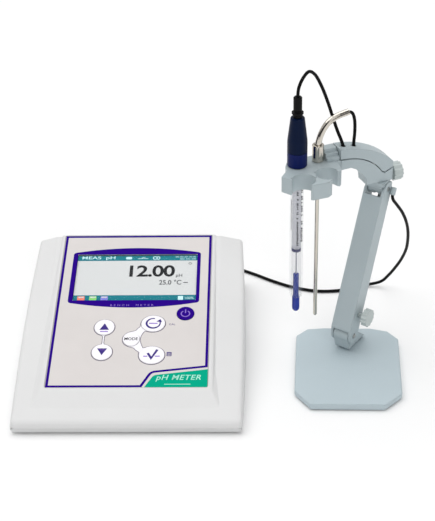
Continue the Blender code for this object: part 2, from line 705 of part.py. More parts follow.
def elbow_parts(elbow):
    """Level block between the arm's cheeks, with the post that the neck swivels on."""
    block = rod("elbow_block", 6.0, (-7.0, 0.0, 0.0), (7.0, 0.0, 0.0), elbow, STAND)
    body = box("elbow_body", (-7.0, -4.6, 0.0), (7.0, 4.6, 7.6), elbow, cutter=True)
    flange_line = ((-9.0, -8.4), (9.0, -8.4), (9.0, 4.6), (5.0, 8.0), (-5.0, 8.0), (-9.0, 4.6))
    flange = slab("elbow_flange", flange_line, 7.2, 8.4, parent=elbow, cutter=True)
    apron = box("elbow_apron", (-9.0, -8.4, 5.2), (9.0, -6.8, 7.8), elbow, cutter=True)
    tongue = box("elbow_tongue", (-7.0, -8.0, 2.8), (7.0, -4.0, 7.8), elbow, cutter=True)
    post = rod("elbow_post", 4.5, (0.0, 0.0, 8.0), (0.0, 0.0, 14.8), elbow, cutter=True)
    ear = rod("elbow_ear", 3.2, (-7.0, LINK_BACK, 0.0), (7.0, LINK_BACK, 0.0), elbow, cutter=True, sides=20)
    web = box("elbow_web", (-7.0, 3.0, -3.1), (7.0, LINK_BACK, 3.1), elbow, cutter=True)
    join(block, body, flange, apron, tongue, post, web, ear)
    slot = box("elbow_slot", (-2.2, 2.9, -9.0), (2.2, 14.0, 5.4), elbow, cutter=True)
    under = box("elbow_under_slot", (-2.2, -8.0, -9.0), (2.2, 3.6, -2.8), elbow, cutter=True)
    bore = rod("elbow_bore", 2.1, (-9.0, 0.0, 0.0), (9.0, 0.0, 0.0), elbow, cutter=True, sides=24)
    ear_bore = rod("ear_bore", 1.1, (-9.0, LINK_BACK, 0.0), (9.0, LINK_BACK, 0.0), elbow, cutter=True, sides=16)
    cut(block, slot, under, bore, ear_bore)
    rod("upper_link_pin", 1.0, (-6.6, LINK_BACK, 0.0), (6.6, LINK_BACK, 0.0), elbow, STEEL, sides=16)


def neck_parts(neck):
    """Arched neck on the post; the local X axis runs towards the holder."""
    half = 7.5

    def top_curve(s):
        return 47.5 * math.sqrt(max(0.0, 1 - ((46.0 - s) / 66.0) ** 2))

    def seam(s):
        return 37.7 * math.sqrt(max(0.0, 1 - ((38.0 - s) / 42.0) ** 2))

    seam_points = [(s, seam(s)) for s in (1.4, 4.0, 7.5, 11.0, 15.0, 20.0, 25.0, 31.0, 37.0)]
    body_line = [(40.5, 28.6), (31.0, 28.8), (26.4, 26.4), (22.0, 22.2), (18.4, 18.2), (16.4, 14.6), (15.8, 8.7)]
    body_line += [(-8.8, 8.7), (-8.8, 20.0), (-1.0, 16.6)] + [(s, z - 0.45) for s, z in seam_points] + [(40.5, 37.3)]
    body = slab("neck_body", body_line[::-1], -half, half, "xz", neck, STAND)
    bore = rod("neck_bore", 4.6, (0.0, 0.0, 5.0), (0.0, 0.0, 15.2), neck, cutter=True)
    stud_hole = rod("neck_stud_hole", 2.2, (-15.0, 0.0, 12.0), (-3.0, 0.0, 12.0), neck, cutter=True, sides=20)
    cut(body, bore, stud_hole)
    cover_line = [(-8.8, 21.2)]
    cover_line += [(s, top_curve(s)) for s in (-8.8, -6.0, -2.5, 2.0, 7.0, 13.0, 19.0, 25.0, 31.0, 36.5, 41.0)]
    cover_line += [(41.0, 38.4), (37.0, 38.4)]
    cover_line += [(s, z + 0.45) for s, z in seam_points[::-1]] + [(-1.0, 17.8)]
    cover = slab("neck_cover", cover_line, -half, half, "xz", neck, STAND)
    bevel(cover, 0.8, 2, 60.0)
    for label, s in (("near", 35.2), ("far", 25.4)):
        z = top_curve(s)
        cut(cover, rod(f"duct_{label}", 2.2, (s, 0.0, z - 5.0), (s, 0.0, z + 9.0), neck, cutter=True, sides=20))
    vent = box("cover_vent", (-6.0, -3.4, 26.5), (-1.0, -1.8, 40.0), neck, cutter=True)
    cut(cover, vent)


def holder_head(neck):
    """Clip plate: two closed seats in line with the neck and two open notches at the side."""
    low = HEAD_TOP - HEAD_H
    outline = [(45.4, -10.0), (49.0, -12.0), (60.0, -10.0), (77.0, -9.6), (83.6, -7.2), (87.2, -1.6), (89.2, 5.2)]
    outline += [(97.4, 12.9), (92.0, 22.4)]
    outline += [(82.5, 33.6), (80.0, 36.5), (66.5, 37.0), (64.0, 35.6), (52.0, 26.5), (47.6, 22.0), (45.4, 15.0)]
    plate = slab("holder_head", outline, low, HEAD_TOP, parent=neck, mat=STAND)
    notches = (("left", (83.3, 25.5), 28.0, 178), ("right", (61.4, 24.0), 134.0, 200))
    for label, centre, heading, lip_from in notches:
        lip = arc(centre, 11.2, lip_from, 322, 18) + arc(centre, 8.8, 322, lip_from, 18)
        join(plate, slab(f"lip_{label}", lip, HEAD_TOP - 1.0, HEAD_TOP + 0.7, parent=neck, cutter=True))
        way = Vector((math.cos(math.radians(heading)), math.sin(math.radians(heading))))
        side = Vector((-way.y, way.x))
        start = Vector(centre)
        notch = rod(
            f"notch_{label}", 9.6, (*centre, low - 3.0), (*centre, HEAD_TOP + 3.0), neck, cutter=True, sides=40
        )
        corners = [start - side * 7.2, start + way * 30 - side * 9.0, start + way * 30 + side * 9.0, start + side * 7.2]
        mouth = slab(f"mouth_{label}", [tuple(c) for c in corners], low - 3.0, HEAD_TOP + 3.0, parent=neck, cutter=True)
        cut(plate, notch, mouth)
    seat_e = rod("seat_e", 6.2, (ELECTRODE_S, 0, low - 3), (ELECTRODE_S, 0, HEAD_TOP + 3), neck, cutter=True)
    seat_p = rod("seat_p", 2.1, (PROBE_S, 0, low - 3), (PROBE_S, 0, HEAD_TOP + 3), neck, cutter=True, sides=20)
    cut(plate, seat_e, seat_p)
    tongue = box("head_tongue", (40.8, -7.5, 29.2), (46.5, 7.5, 37.8), neck, cutter=True)
    join(plate, tongue)
    for i, (near, rise) in enumerate(((6.4, 3.2), (3.4, 6.0), (0.6, 8.8))):
        ridge = box(f"ridge_{i}", (41.5, -7.5, 37.0 - i * 0.1), (52.9 - i * 0.1, near, HEAD_TOP + rise), neck, cutter=True)
        join(plate, ridge)


# ---------------------------------------------------------------- electrode and probe
def electrode_parts(neck):
    base = PIVOT_TOP_Z
    at = (ELECTRODE_S, 0.0, 0.0)
    top = HEAD_TOP

    def height(z):
        return z - base

    body = (
        (4.4, top + 6.0), (5.8, top + 6.0), (5.8, height(57.0)), (5.2, height(54.4)), (3.6, height(53.0)),
        (3.6, height(54.2)), (4.4, height(55.4)), (4.4, top + 6.0),
    )
    turned("electrode_body", body, at, neck, TUBE, 32)
    stem = [(0.0, height(76.0)), (2.5, height(76.0)), (2.5, height(55.0)), (3.3, height(52.6)), (3.35, height(42.0))]
    stem += [(3.35 * math.cos(math.radians(a)), height(42.0) - 4.0 * math.sin(math.radians(a))) for a in (25, 50, 70)]
    stem += [(0.0, height(38.0))]
    turned("electrode_bulb", stem, at, neck, BLUE, 24)
    ring("electrode_seal", 1.0, 4.1, height(100.2), height(102.4), at, neck, BLUE, 24)
    band = (
        (6.2, top + 13.0), (8.35, top + 13.0), (8.35, top + 1.0), (7.9, top + GAP), (6.2, top + GAP), (6.2, top + 13.0),
    )
    turned("cap_band", band, at, neck, BAND, 32)
    cap = (
        (3.0, height(226.0)), (5.4, height(226.0)), (5.9, height(225.3)), (8.3, height(205.5)), (8.35, height(203.0)),
        (8.35, top + 13.3), (6.2, top + 13.3), (6.2, top + 20.0), (3.0, top + 26.0), (3.0, height(226.0)),
    )
    turned("electrode_cap", cap, at, neck, CAP, 32)
    relief = (
        (1.7, height(244.2)), (3.0, height(244.2)), (3.6, height(243.4)), (3.6, height(233.0)), (3.2, height(232.0)),
        (3.2, height(231.2)), (4.9, height(230.8)), (4.9, height(229.4)), (3.0, height(228.4)), (3.6, height(227.4)),
        (3.6, height(226.3)), (2.4, height(226.3)), (2.4, height(238.0)), (1.7, height(240.0)), (1.7, height(244.2)),
    )
    turned("electrode_strain_relief", relief, at, neck, BLACK, 20)


def probe_parts(neck):
    at = (PROBE_S, 0.0, 0.0)
    top = HEAD_TOP
    tip = 28.2 - PIVOT_TOP_Z
    shaft = ((0.0, top + 9.0), (1.7, top + 9.0), (1.7, tip + 1.6), (1.2, tip + 0.4), (0.0, tip))
    turned("probe_shaft", shaft, at, neck, STEEL, 20)
    ferrule = (
        (3.0, top + 15.0), (4.6, top + 15.0), (5.0, top + 14.6), (5.0, top + 0.7), (4.6, top + GAP), (2.0, top + GAP),
        (2.0, top + 10.0), (3.0, top + 10.6), (3.0, top + 15.0),
    )
    turned("probe_ferrule", ferrule, at, neck, STEEL, 28)
    bend = ((58.4, 0, top + 10.9), (58.3, 0, top + 15.6), (56.6, 0, 60.2), (53.4, 0, 66.6), (48.6, 0, 71.9),
            (42.6, 0, 75.0), (36.8, 0, 76.3), (31.0, 0, 77.2))
    tube("probe_handle", bend, 2.7, neck, STEEL, spacing=2.4, round_sides=4)


# ---------------------------------------------------------------- leads
ELECTRODE_LEAD = (
    (77.3, 0, 96.6), (77.3, 0, 101.5), (76.2, 0, 107.5), (72.2, 0, 113.8), (65.4, 0, 117.6), (58.4, 0, 112.4),
    (52.0, -1.8, 100.2), (46.6, -4.0, 86.0), (42.4, -5.0, 73.0), (38.6, -3.4, 60.0), (36.0, -1.0, 51.0),
    (35.2, 0, 46.4), (35.2, 0, 43.4),
)
PROBE_LEAD = (
    (29.8, 0, 76.9), (28.0, 0, 75.8), (26.2, 0, 72.4), (25.0, 0, 66.0), (24.8, 0, 57.0), (25.3, 0, 50.0),
    (25.4, 0, 44.4), (25.4, 0, 42.0),
)
MAIN_LEAD = (
    (224.7, 153.7, 142.0), (223.8, 152.3, 138.0), (224.7, 153.0, 133.0), (228.6, 157.0, 125.6), (233.8, 162.4, 115.6),
    (238.2, 168.8, 103.6), (241.4, 176.0, 89.4), (242.9, 184.5, 73.4), (242.8, 192.5, 58.9), (240.2, 201.0, 43.5),
    (235.8, 209.0, 29.0), (230.4, 215.8, 16.0), (223.6, 220.4, 6.0), (208.0, 220.6, 1.8), (196.0, 216.0, 1.6),
    (183.0, 212.2, 1.6), (166.0, 211.4, 1.6), (150.0, 215.2, 1.6), (136.0, 221.2, 1.6), (120.0, 231.0, 1.6),
    (106.0, 241.0, 1.6), (92.8, 249.2, 1.6), (78.0, 257.0, 1.6), (62.0, 262.4, 1.6), (48.0, 263.6, 1.6),
    (35.2, 262.6, 1.6),
)
COIL_AT = (20.0, 276.0)
COIL_R = (12.4, 18.4)
COIL_TOP = 9.4
BNC_TAIL = ((-14.6, 261.0, 2.2), (-24.0, 260.2, 1.8), (-38.0, 264.0, 1.8), (-52.0, 270.4, 2.4), (-60.0, 271.6, 9.0),
            (-62.0, 269.4, 17.6), (-62.0, 264.4, 24.0), (-62.0, 259.4, 26.0))
TEMP_TAIL = ((-14.6, 264.0, 2.2), (-22.0, 266.6, 1.8), (-30.0, 270.0, 2.8), (-35.0, 269.6, 10.0),
             (-36.0, 265.6, 19.0), (-36.0, 260.4, 25.0), (-36.0, 256.0, 26.0))


def leads(scene_frame, meter, neck):
    tube("electrode_lead", ELECTRODE_LEAD, LEAD_R, neck, LEAD)
    tube("probe_lead", PROBE_LEAD, LEAD_R, neck, LEAD)
    tube("main_lead", MAIN_LEAD, LEAD_R, scene_frame, LEAD, spacing=8.0)
    coil = ring("main_lead_coil", COIL_R[0], COIL_R[1], 0.1, COIL_TOP, (*COIL_AT, 0.0), scene_frame, LEAD, 28)
    bevel(coil, 1.6, 1, 50.0)
    boot = box("lead_splitter", (-14.2, 258.6, 0.1), (1.2, 266.4, 4.6), scene_frame, BLACK)
    bevel(boot, 1.2, 3, 50.0)
    tube("bnc_lead_tail", BNC_TAIL, 1.2, scene_frame, LEAD)
    tube("temp_lead_tail", TEMP_TAIL, 1.2, scene_frame, LEAD)
    back = frame("plug_frame", (0.0, CASE_D, 0.0), (math.radians(-90), 0.0, 0.0), meter)
    bnc = (
        (1.4, 30.2), (2.6, 30.2), (3.2, 24.0), (5.6, 22.4), (6.2, 20.0), (7.2, 18.6), (7.2, 4.6), (6.8, 4.2), (5.2, 4.2),
        (5.2, 13.0), (1.4, 13.0), (1.4, 30.2),
    )
    turned("bnc_plug", bnc, (BNC_X, -PORT_Z, 0.0), back, NICKEL, 20)
    temp = (
        (1.4, 26.6), (2.4, 26.6), (3.0, 20.0), (4.8, 18.0), (5.0, 8.0), (4.6, 7.4), (1.4, 7.4), (1.4, 26.6),
    )
    turned("temp_plug", temp, (TEMP_X, -PORT_Z, 0.0), back, BLACK, 20)


# ---------------------------------------------------------------- assembly
def build():
    clear_scene()
    scene_frame = frame("ph_meter_frame", (SHIFT_X, SHIFT_Y, 0.0), (0.0, 0.0, 0.0))
    panel = frame("panel_frame", (0.0, PANEL_Y, PANEL_Z), (PANEL_TILT, 0.0, 0.0), scene_frame)
    top_case(scene_frame, panel)
    bottom_case(scene_frame)
    meter_inside(scene_frame, panel)
    meter_panel(panel)
    meter_feet(scene_frame)
    meter_sockets(scene_frame)

    foot = frame("foot_frame", PIVOT, (0.0, 0.0, -ARM_YAW), scene_frame)
    arm = frame("arm_frame", (0.0, 0.0, 0.0), (-ARM_LEAN, 0.0, 0.0), foot)
    elbow_at = (0.0, ARM_LEN * math.sin(ARM_LEAN), ARM_LEN * math.cos(ARM_LEAN))
    elbow = frame("elbow_frame", elbow_at, (0.0, 0.0, 0.0), foot)
    neck_turn = math.radians(270.0) - NECK_YAW + ARM_YAW
    neck = frame("neck_frame", (0.0, 0.0, 0.0), (0.0, 0.0, neck_turn), elbow)
    stand_base(scene_frame, foot)
    arm_parts(arm)
    level_link(foot)
    knob("lower_knob", (ARM_W / 2 + 5.4, 0.5, KNOB_Z), STAND, arm, 8.2, 8.0, 5.2)
    elbow_parts(elbow)
    neck_parts(neck)
    back_knob = knob("upper_knob", (-11.4, 0.0, 12.0), STAND, neck, 6.2, 8.0, 8.2)
    back_knob.rotation_euler = (0.0, 0.0, math.pi)
    holder_head(neck)
    electrode_parts(neck)
    probe_parts(neck)
    leads(scene_frame, scene_frame, neck)


build()
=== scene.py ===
"""The looks of a bench pH meter with its electrode stand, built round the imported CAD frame.

Sizes are millimetres and MM turns them into metres. +X is right, +Y away from the user, +Z up.
Two local frames are read from the CAD model: the sloping panel (x, distance up the panel,
height above the film) and the stand's neck (distance from the swivel towards the holder,
sideways, height above the elbow).
"""

import json
import math
import random

import bmesh
import bpy
from mathutils import Matrix, Vector


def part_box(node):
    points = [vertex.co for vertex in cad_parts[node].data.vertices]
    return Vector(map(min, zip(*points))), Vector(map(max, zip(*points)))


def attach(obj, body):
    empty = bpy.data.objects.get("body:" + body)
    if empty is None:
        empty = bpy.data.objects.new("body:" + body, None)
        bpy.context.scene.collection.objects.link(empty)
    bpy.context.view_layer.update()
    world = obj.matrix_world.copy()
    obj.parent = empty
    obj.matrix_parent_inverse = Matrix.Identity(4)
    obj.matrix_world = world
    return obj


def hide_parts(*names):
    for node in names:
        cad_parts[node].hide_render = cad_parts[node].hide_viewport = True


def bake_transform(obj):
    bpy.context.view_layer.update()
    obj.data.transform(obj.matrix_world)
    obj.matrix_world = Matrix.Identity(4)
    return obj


MM = 0.001
X_AXIS = Vector((1.0, 0.0, 0.0))
Z_AXIS = Vector((0.0, 0.0, 1.0))

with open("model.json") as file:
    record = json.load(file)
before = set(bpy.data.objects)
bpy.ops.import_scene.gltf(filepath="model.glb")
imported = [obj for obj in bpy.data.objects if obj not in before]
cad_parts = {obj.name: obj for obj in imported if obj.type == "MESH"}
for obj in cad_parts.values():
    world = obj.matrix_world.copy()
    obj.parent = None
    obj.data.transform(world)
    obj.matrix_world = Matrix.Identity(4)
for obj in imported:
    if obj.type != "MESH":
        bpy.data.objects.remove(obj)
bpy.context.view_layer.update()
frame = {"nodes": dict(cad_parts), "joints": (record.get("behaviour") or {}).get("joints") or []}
NODES = frame["nodes"]
JOINTS = {joint["name"]: joint for joint in frame["joints"]}

ROOT = "meter_and_base"
LEAD_D = 2.8                  # leads between the stand and the splitter
TAIL_D = 2.4                  # tails between the splitter and the plugs

# The routes repeat those of the CAD model, but the electrode's lead also swings 7 mm aside, clear
# of the probe when that is lifted out. The first two are in the neck's frame, the others in the
# meter's, whose origin is the middle of the case's front edge.
ELECTRODE_LEAD = (
    (77.3, 0, 96.6), (77.3, 0, 101.5), (76.2, -0.6, 107.5), (72.2, -2.2, 113.8), (65.4, -5.0, 117.6),
    (58.4, -7.2, 112.4), (52.0, -7.6, 100.2), (46.6, -7.4, 86.0), (42.4, -7.0, 73.0), (38.6, -5.2, 60.0),
    (36.0, -2.0, 51.0), (35.2, 0, 46.4), (35.2, 0, 43.4),
)
PROBE_LEAD = (
    (29.8, 0, 76.9), (28.0, 0, 75.8), (26.2, 0, 72.4), (25.0, 0, 66.0), (24.8, 0, 57.0), (25.3, 0, 50.0),
    (25.4, 0, 44.4), (25.4, 0, 42.0),
)
MAIN_LEAD = (
    (224.7, 153.7, 142.0), (223.8, 152.3, 138.0), (224.7, 153.0, 133.0), (228.6, 157.0, 125.6),
    (233.8, 162.4, 115.6), (238.2, 168.8, 103.6), (241.4, 176.0, 89.4), (242.9, 184.5, 73.4),
    (242.8, 192.5, 58.9), (240.2, 201.0, 43.5), (235.8, 209.0, 29.0), (230.4, 215.8, 16.0),
    (223.6, 220.4, 6.0), (208.0, 220.6, 1.8), (196.0, 216.0, 1.6), (183.0, 212.2, 1.6),
    (166.0, 211.4, 1.6), (150.0, 215.2, 1.6), (136.0, 221.2, 1.6), (120.0, 231.0, 1.6),
    (106.0, 241.0, 1.6), (92.8, 249.2, 1.6), (78.0, 257.0, 1.6), (62.0, 262.4, 1.6),
    (48.0, 263.6, 1.6), (35.2, 262.6, 1.6),
)
COIL_AT = (20.0, 276.0)
BNC_TAIL = (
    (-14.6, 261.0, 2.2), (-24.0, 260.2, 1.8), (-38.0, 264.0, 1.8), (-52.0, 270.4, 2.4), (-60.0, 271.6, 9.0),
    (-62.0, 269.4, 17.6), (-62.0, 264.4, 24.0), (-62.0, 259.4, 26.0),
)
TEMP_TAIL = (
    (-14.6, 264.0, 2.2), (-22.0, 266.6, 1.8), (-30.0, 270.0, 2.8), (-35.0, 269.6, 10.0),
    (-36.0, 265.6, 19.0), (-36.0, 260.4, 25.0), (-36.0, 256.0, 26.0),
)


# ---------------------------------------------------------------- local frames
def columns(x_way, y_way, z_way, origin):
    matrix = Matrix((x_way, y_way, z_way)).transposed().to_4x4()
    matrix.translation = origin
    return matrix


def panel_frame():
    """x from the middle of the case, distance up the film, height above the film's face."""
    normal = -Vector(JOINTS["mode_press"]["axis"]).normalized()
    up = normal.cross(X_AXIS)
    film = [v.co for v in NODES["panel_overlay"].data.vertices]
    low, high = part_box("top_case")
    middle = X_AXIS * (low.x + high.x) / 2
    start = up * min(co.dot(up) for co in film)
    face = normal * max(co.dot(normal) for co in film)
    return columns(X_AXIS, up, normal, middle + start + face)


def meter_frame():
    low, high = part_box("top_case")
    return Matrix.Translation(((low.x + high.x) / 2, low.y, 0.0))


def neck_frame():
    swivel = Vector(JOINTS["neck_swivel"]["pos_m"])
    low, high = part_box("electrode_body")
    way = (low + high) / 2 - swivel
    way.z = 0.0
    way.normalize()
    return columns(way, Z_AXIS.cross(way), Z_AXIS, swivel)


PANEL = panel_frame()
METER = meter_frame()
NECK = neck_frame()


def at(matrix, point):
    return matrix @ (Vector(point) * MM)


# ---------------------------------------------------------------- mesh helpers
# the corners of an outline, each with the angle where its arc starts
CORNERS = ((1, 1, 0), (-1, 1, 90), (-1, -1, 180), (1, -1, 270))


def new_object(name, mesh, mat, body, smooth=None):
    obj = bpy.data.objects.new(name, mesh)
    bpy.context.scene.collection.objects.link(obj)
    mesh.materials.append(mat)
    if smooth is not None:
        mesh.shade_smooth()
        mesh.set_sharp_from_angle(angle=math.radians(smooth))
    if body is not None:
        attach(obj, body)
    return obj


def mesh_of(curve):
    """The mesh that a curve or text makes."""
    maker = bpy.data.objects.new("maker", curve)
    bpy.context.scene.collection.objects.link(maker)
    bpy.context.view_layer.update()
    made = maker.evaluated_get(bpy.context.evaluated_depsgraph_get())
    mesh = bpy.data.meshes.new_from_object(made)
    bpy.data.objects.remove(maker)
    shape = bmesh.new()
    shape.from_mesh(mesh)
    bmesh.ops.remove_doubles(shape, verts=shape.verts, dist=1e-7)
    bmesh.ops.recalc_face_normals(shape, faces=shape.faces)
    shape.to_mesh(mesh)
    shape.free()
    return mesh


def flat(name, outlines, low, high, mat, body=ROOT, matrix=PANEL, slot=None):
    """A print or inlay between two heights; the outlines after the first are its holes."""
    curve = bpy.data.curves.new(name, "CURVE")
    curve.dimensions = "2D"
    curve.fill_mode = "BOTH"
    curve.extrude = (high - low) / 2 * MM
    for outline in outlines:
        line = curve.splines.new("POLY")
        line.points.add(len(outline) - 1)
        line.use_cyclic_u = True
        for point, (a, b) in zip(line.points, outline):
            point.co = (a * MM, b * MM, 0.0, 1.0)
    mesh = mesh_of(curve)
    mesh.transform(matrix @ Matrix.Translation((0, 0, (low + high) / 2 * MM)))
    return new_object(name, mesh, mat, body)


def words(name, text, area, low, high, mat, body=ROOT, matrix=PANEL, spacing=1.0, shear=0.0, weight=0.0):
    """Text stretched to fill area = (left, bottom, right, top)."""
    font = bpy.data.curves.new(name, "FONT")
    font.body = text
    font.extrude = 0.01
    font.resolution_u = 4
    font.space_character = spacing
    font.shear = shear
    font.offset = weight
    mesh = mesh_of(font)
    lows = [min(v.co[i] for v in mesh.vertices) for i in range(3)]
    highs = [max(v.co[i] for v in mesh.vertices) for i in range(3)]
    goal_low = (area[0], area[1], low)
    goal_high = (area[2], area[3], high)
    for vert in mesh.vertices:
        for i in range(3):
            share = (vert.co[i] - lows[i]) / (highs[i] - lows[i])
            vert.co[i] = (goal_low[i] + share * (goal_high[i] - goal_low[i])) * MM
    mesh.transform(matrix)
    return new_object(name, mesh, mat, body)


def arc(centre, radius, start, end, count, squeeze=1.0):
    points = []
    for i in range(count + 1):
        angle = math.radians(start + (end - start) * i / count)
        points.append((centre[0] + radius * math.cos(angle), centre[1] + radius * squeeze * math.sin(angle)))
    return points


def rectangle(left, bottom, right, top, radius=0.0):
    """A counter-clockwise outline, with round corners where radius is given."""
    if not radius:
        return [(left, bottom), (right, bottom), (right, top), (left, top)]
    points = []
    middle = ((left + right) / 2, (bottom + top) / 2)
    half = ((right - left) / 2 - radius, (top - bottom) / 2 - radius)
    for sx, sy, start in CORNERS:
        points += arc((middle[0] + sx * half[0], middle[1] + sy * half[1]), radius, start, start + 90, 5)
    return points


def offset(points, distance):
    """A closed counter-clockwise outline grown by distance."""
    sharpest = 0.4                # keeps a pointed corner from shooting out
    grown = []
    for i, point in enumerate(points):
        here = Vector(point)
        into = (here - Vector(points[i - 1])).normalized()
        out = (Vector(points[(i + 1) % len(points)]) - here).normalized()
        side = Vector((into.y, -into.x))
        normal = (side + Vector((out.y, -out.x))).normalized()
        grown.append(tuple(here + normal * distance / max(sharpest, normal.dot(side))))
    return grown


def blob(start, lobes, blend):
    """The outline of ellipses that flow into each other, followed from a point near it."""
    step = 0.4
    reach = 0.01

    def depth(point):
        """Zero on the outline and positive inside."""
        total = 0.0
        for x, y, half_w, half_h in lobes:
            size = math.hypot((point.x - x) / half_w, (point.y - y) / half_h)
            total += math.exp(-(size - 1.0) * (half_w + half_h) / 2 / blend)
        return math.log(total)

    def slope(point):
        across, along = Vector((reach, 0.0)), Vector((0.0, reach))
        rise = (depth(point + across) - depth(point - across), depth(point + along) - depth(point - along))
        return Vector(rise) / (2 * reach)

    outline = []
    point = Vector(start)
    while len(outline) < 9 or (point - Vector(outline[0])).length > 0.8 * step:
        for _ in range(3):
            way = slope(point)
            point = point - way * depth(point) / way.length_squared
        outline.append(tuple(point))
        way = slope(point).normalized()
        point = point + Vector((way.y, -way.x)) * step
    return outline


def smooth_path(route, spacing):
    """Points about spacing apart on a Catmull-Rom curve through the route's own points."""
    knots = [Vector(p) for p in route]
    knots = [2 * knots[0] - knots[1]] + knots + [2 * knots[-1] - knots[-2]]
    path = []
    for a, b, c, d in zip(knots, knots[1:], knots[2:], knots[3:]):
        count = max(1, round((c - b).length / spacing))
        for step in range(count):
            t = step / count
            bend = (2 * a - 5 * b + 4 * c - d) * t**2
            twist = (3 * b - a - 3 * c + d) * t**3
            path.append(0.5 * (2 * b + (c - a) * t + bend + twist))
    path.append(knots[-2])
    return path


def sweep(name, path, radius, mat):
    """A closed tube along points in metres."""
    sides = 12
    shape = bmesh.new()
    side = None
    rings = []
    for i, point in enumerate(path):
        way = (path[min(i + 1, len(path) - 1)] - path[max(i - 1, 0)]).normalized()
        if side is None:
            side = way.orthogonal()
        side = (side - way * side.dot(way)).normalized()
        other = way.cross(side)
        ring = []
        for k in range(sides):
            angle = 2 * math.pi * k / sides
            ring.append(shape.verts.new(point + (side * math.cos(angle) + other * math.sin(angle)) * radius))
        rings.append(ring)
    for lower, upper in zip(rings, rings[1:]):
        for k in range(sides):
            shape.faces.new((lower[k], lower[(k + 1) % sides], upper[(k + 1) % sides], upper[k]))
    shape.faces.new(rings[0][::-1])
    shape.faces.new(rings[-1])
    mesh = bpy.data.meshes.new(name)
    shape.to_mesh(mesh)
    shape.free()
    return new_object(name, mesh, mat, None, smooth=50.0)


def rod(name, axis, radius, bottom, top, mat, body, steps):
    """An upright round rod; axis is in metres and the other sizes are in millimetres."""
    shape = bmesh.new()
    bmesh.ops.create_cone(
        shape,
        cap_ends=True,
        segments=steps,
        radius1=radius * MM,
        radius2=radius * MM,
        depth=(top - bottom) * MM,
        matrix=Matrix.Translation((axis.x, axis.y, (bottom + top) / 2 * MM)),
    )
    mesh = bpy.data.meshes.new(name)
    shape.to_mesh(mesh)
    shape.free()
    return new_object(name, mesh, mat, body, smooth=35.0)


# ---------------------------------------------------------------- materials
def srgb(red, green, blue):
    """A screen colour of 0 to 255 as the linear colour that a shader takes."""
    linear = []
    for value in (red, green, blue):
        share = value / 255
        linear.append(share / 12.92 if share <= 0.04045 else ((share + 0.055) / 1.055) ** 2.4)
    return (*linear, 1.0)


def surface(
    name,
    color,
    roughness,
    metallic=0.0,
    mottle=0.04,
    mottle_size=0.02,
    grain=0.0,
    grain_size=0.0006,
    stretch=(1.0, 1.0, 1.0),
    spread=0.06,
    soften=0.4,
    **settings,
):
    """A Principled surface whose colour, roughness and relief vary the way the real finish does.

    mottle and mottle_size are the strength and the size in metres of the slow colour change,
    grain and grain_size those of the fine relief, spread the change in roughness, and soften
    the radius in millimetres that the light sees on sharp edges.
    """
    mat = bpy.data.materials.new(name)
    mat.use_nodes = True
    tree = mat.node_tree
    shader = tree.nodes["Principled BSDF"]
    place = tree.nodes.new("ShaderNodeTexCoord")
    mapping = tree.nodes.new("ShaderNodeMapping")
    mapping.inputs["Scale"].default_value = stretch
    tree.links.new(place.outputs["Object"], mapping.inputs["Vector"])

    def noise(size, detail):
        node = tree.nodes.new("ShaderNodeTexNoise")
        node.inputs["Scale"].default_value = 1.0 / size
        node.inputs["Detail"].default_value = detail
        tree.links.new(mapping.outputs["Vector"], node.inputs["Vector"])
        return node

    cloud = noise(mottle_size, 3.0)
    ramp = tree.nodes.new("ShaderNodeValToRGB")
    ramp.color_ramp.elements[0].position = 0.3
    ramp.color_ramp.elements[1].position = 0.7
    ramp.color_ramp.elements[0].color = (*[c * (1 - mottle) for c in color[:3]], 1.0)
    ramp.color_ramp.elements[1].color = (*[min(1.0, c * (1 + mottle)) for c in color[:3]], 1.0)
    tree.links.new(cloud.outputs["Fac"], ramp.inputs["Fac"])
    tree.links.new(ramp.outputs["Color"], shader.inputs["Base Color"])
    rough = tree.nodes.new("ShaderNodeMapRange")
    rough.inputs["To Min"].default_value = max(0.0, roughness - spread)
    rough.inputs["To Max"].default_value = min(1.0, roughness + spread)
    patches = noise(mottle_size * 0.35, 4.0)
    tree.links.new(patches.outputs["Fac"], rough.inputs["Value"])
    tree.links.new(rough.outputs["Result"], shader.inputs["Roughness"])
    shader.inputs["Metallic"].default_value = metallic
    edge = tree.nodes.new("ShaderNodeBevel")
    edge.samples = 4
    edge.inputs["Radius"].default_value = soften * MM
    relief = noise(grain_size, 2.0)
    bump = tree.nodes.new("ShaderNodeBump")
    bump.inputs["Strength"].default_value = grain
    bump.inputs["Distance"].default_value = grain_size * 0.5
    tree.links.new(edge.outputs["Normal"], bump.inputs["Normal"])
    tree.links.new(relief.outputs["Fac"], bump.inputs["Height"])
    tree.links.new(bump.outputs["Normal"], shader.inputs["Normal"])
    for socket, value in settings.items():
        shader.inputs[socket.replace("_", " ")].default_value = value
    return mat


CASE = surface(
    "case_abs", srgb(218, 218, 218), 0.5, mottle=0.012, mottle_size=0.06, grain=0.22,
    grain_size=0.0009, soften=1.2, Specular_IOR_Level=0.35,
)
CASE_LOW = surface("case_abs_lower", srgb(214, 215, 215), 0.55, mottle=0.012, grain=0.25, grain_size=0.0009)
FILM = surface(
    "panel_film", srgb(213, 208, 206), 0.5, mottle=0.022, mottle_size=0.03, grain=0.12, grain_size=0.0004,
    Specular_IOR_Level=0.3,
)
PURPLE = surface(
    "print_purple", srgb(40, 0, 132), 0.5, mottle=0.05, grain=0.08, grain_size=0.0004, Specular_IOR_Level=0.02
)
PURPLE_PALE = surface("print_lilac", srgb(140, 104, 206), 0.5, mottle=0.02)
PURPLE_ICON = surface("print_violet", srgb(52, 30, 126), 0.5, mottle=0.03, Specular_IOR_Level=0.2)
OUTLINE = surface("print_outline", srgb(112, 104, 122), 0.5, mottle=0.03)
INK = surface("print_ink", srgb(34, 32, 42), 0.5, mottle=0.03, Specular_IOR_Level=0.2)
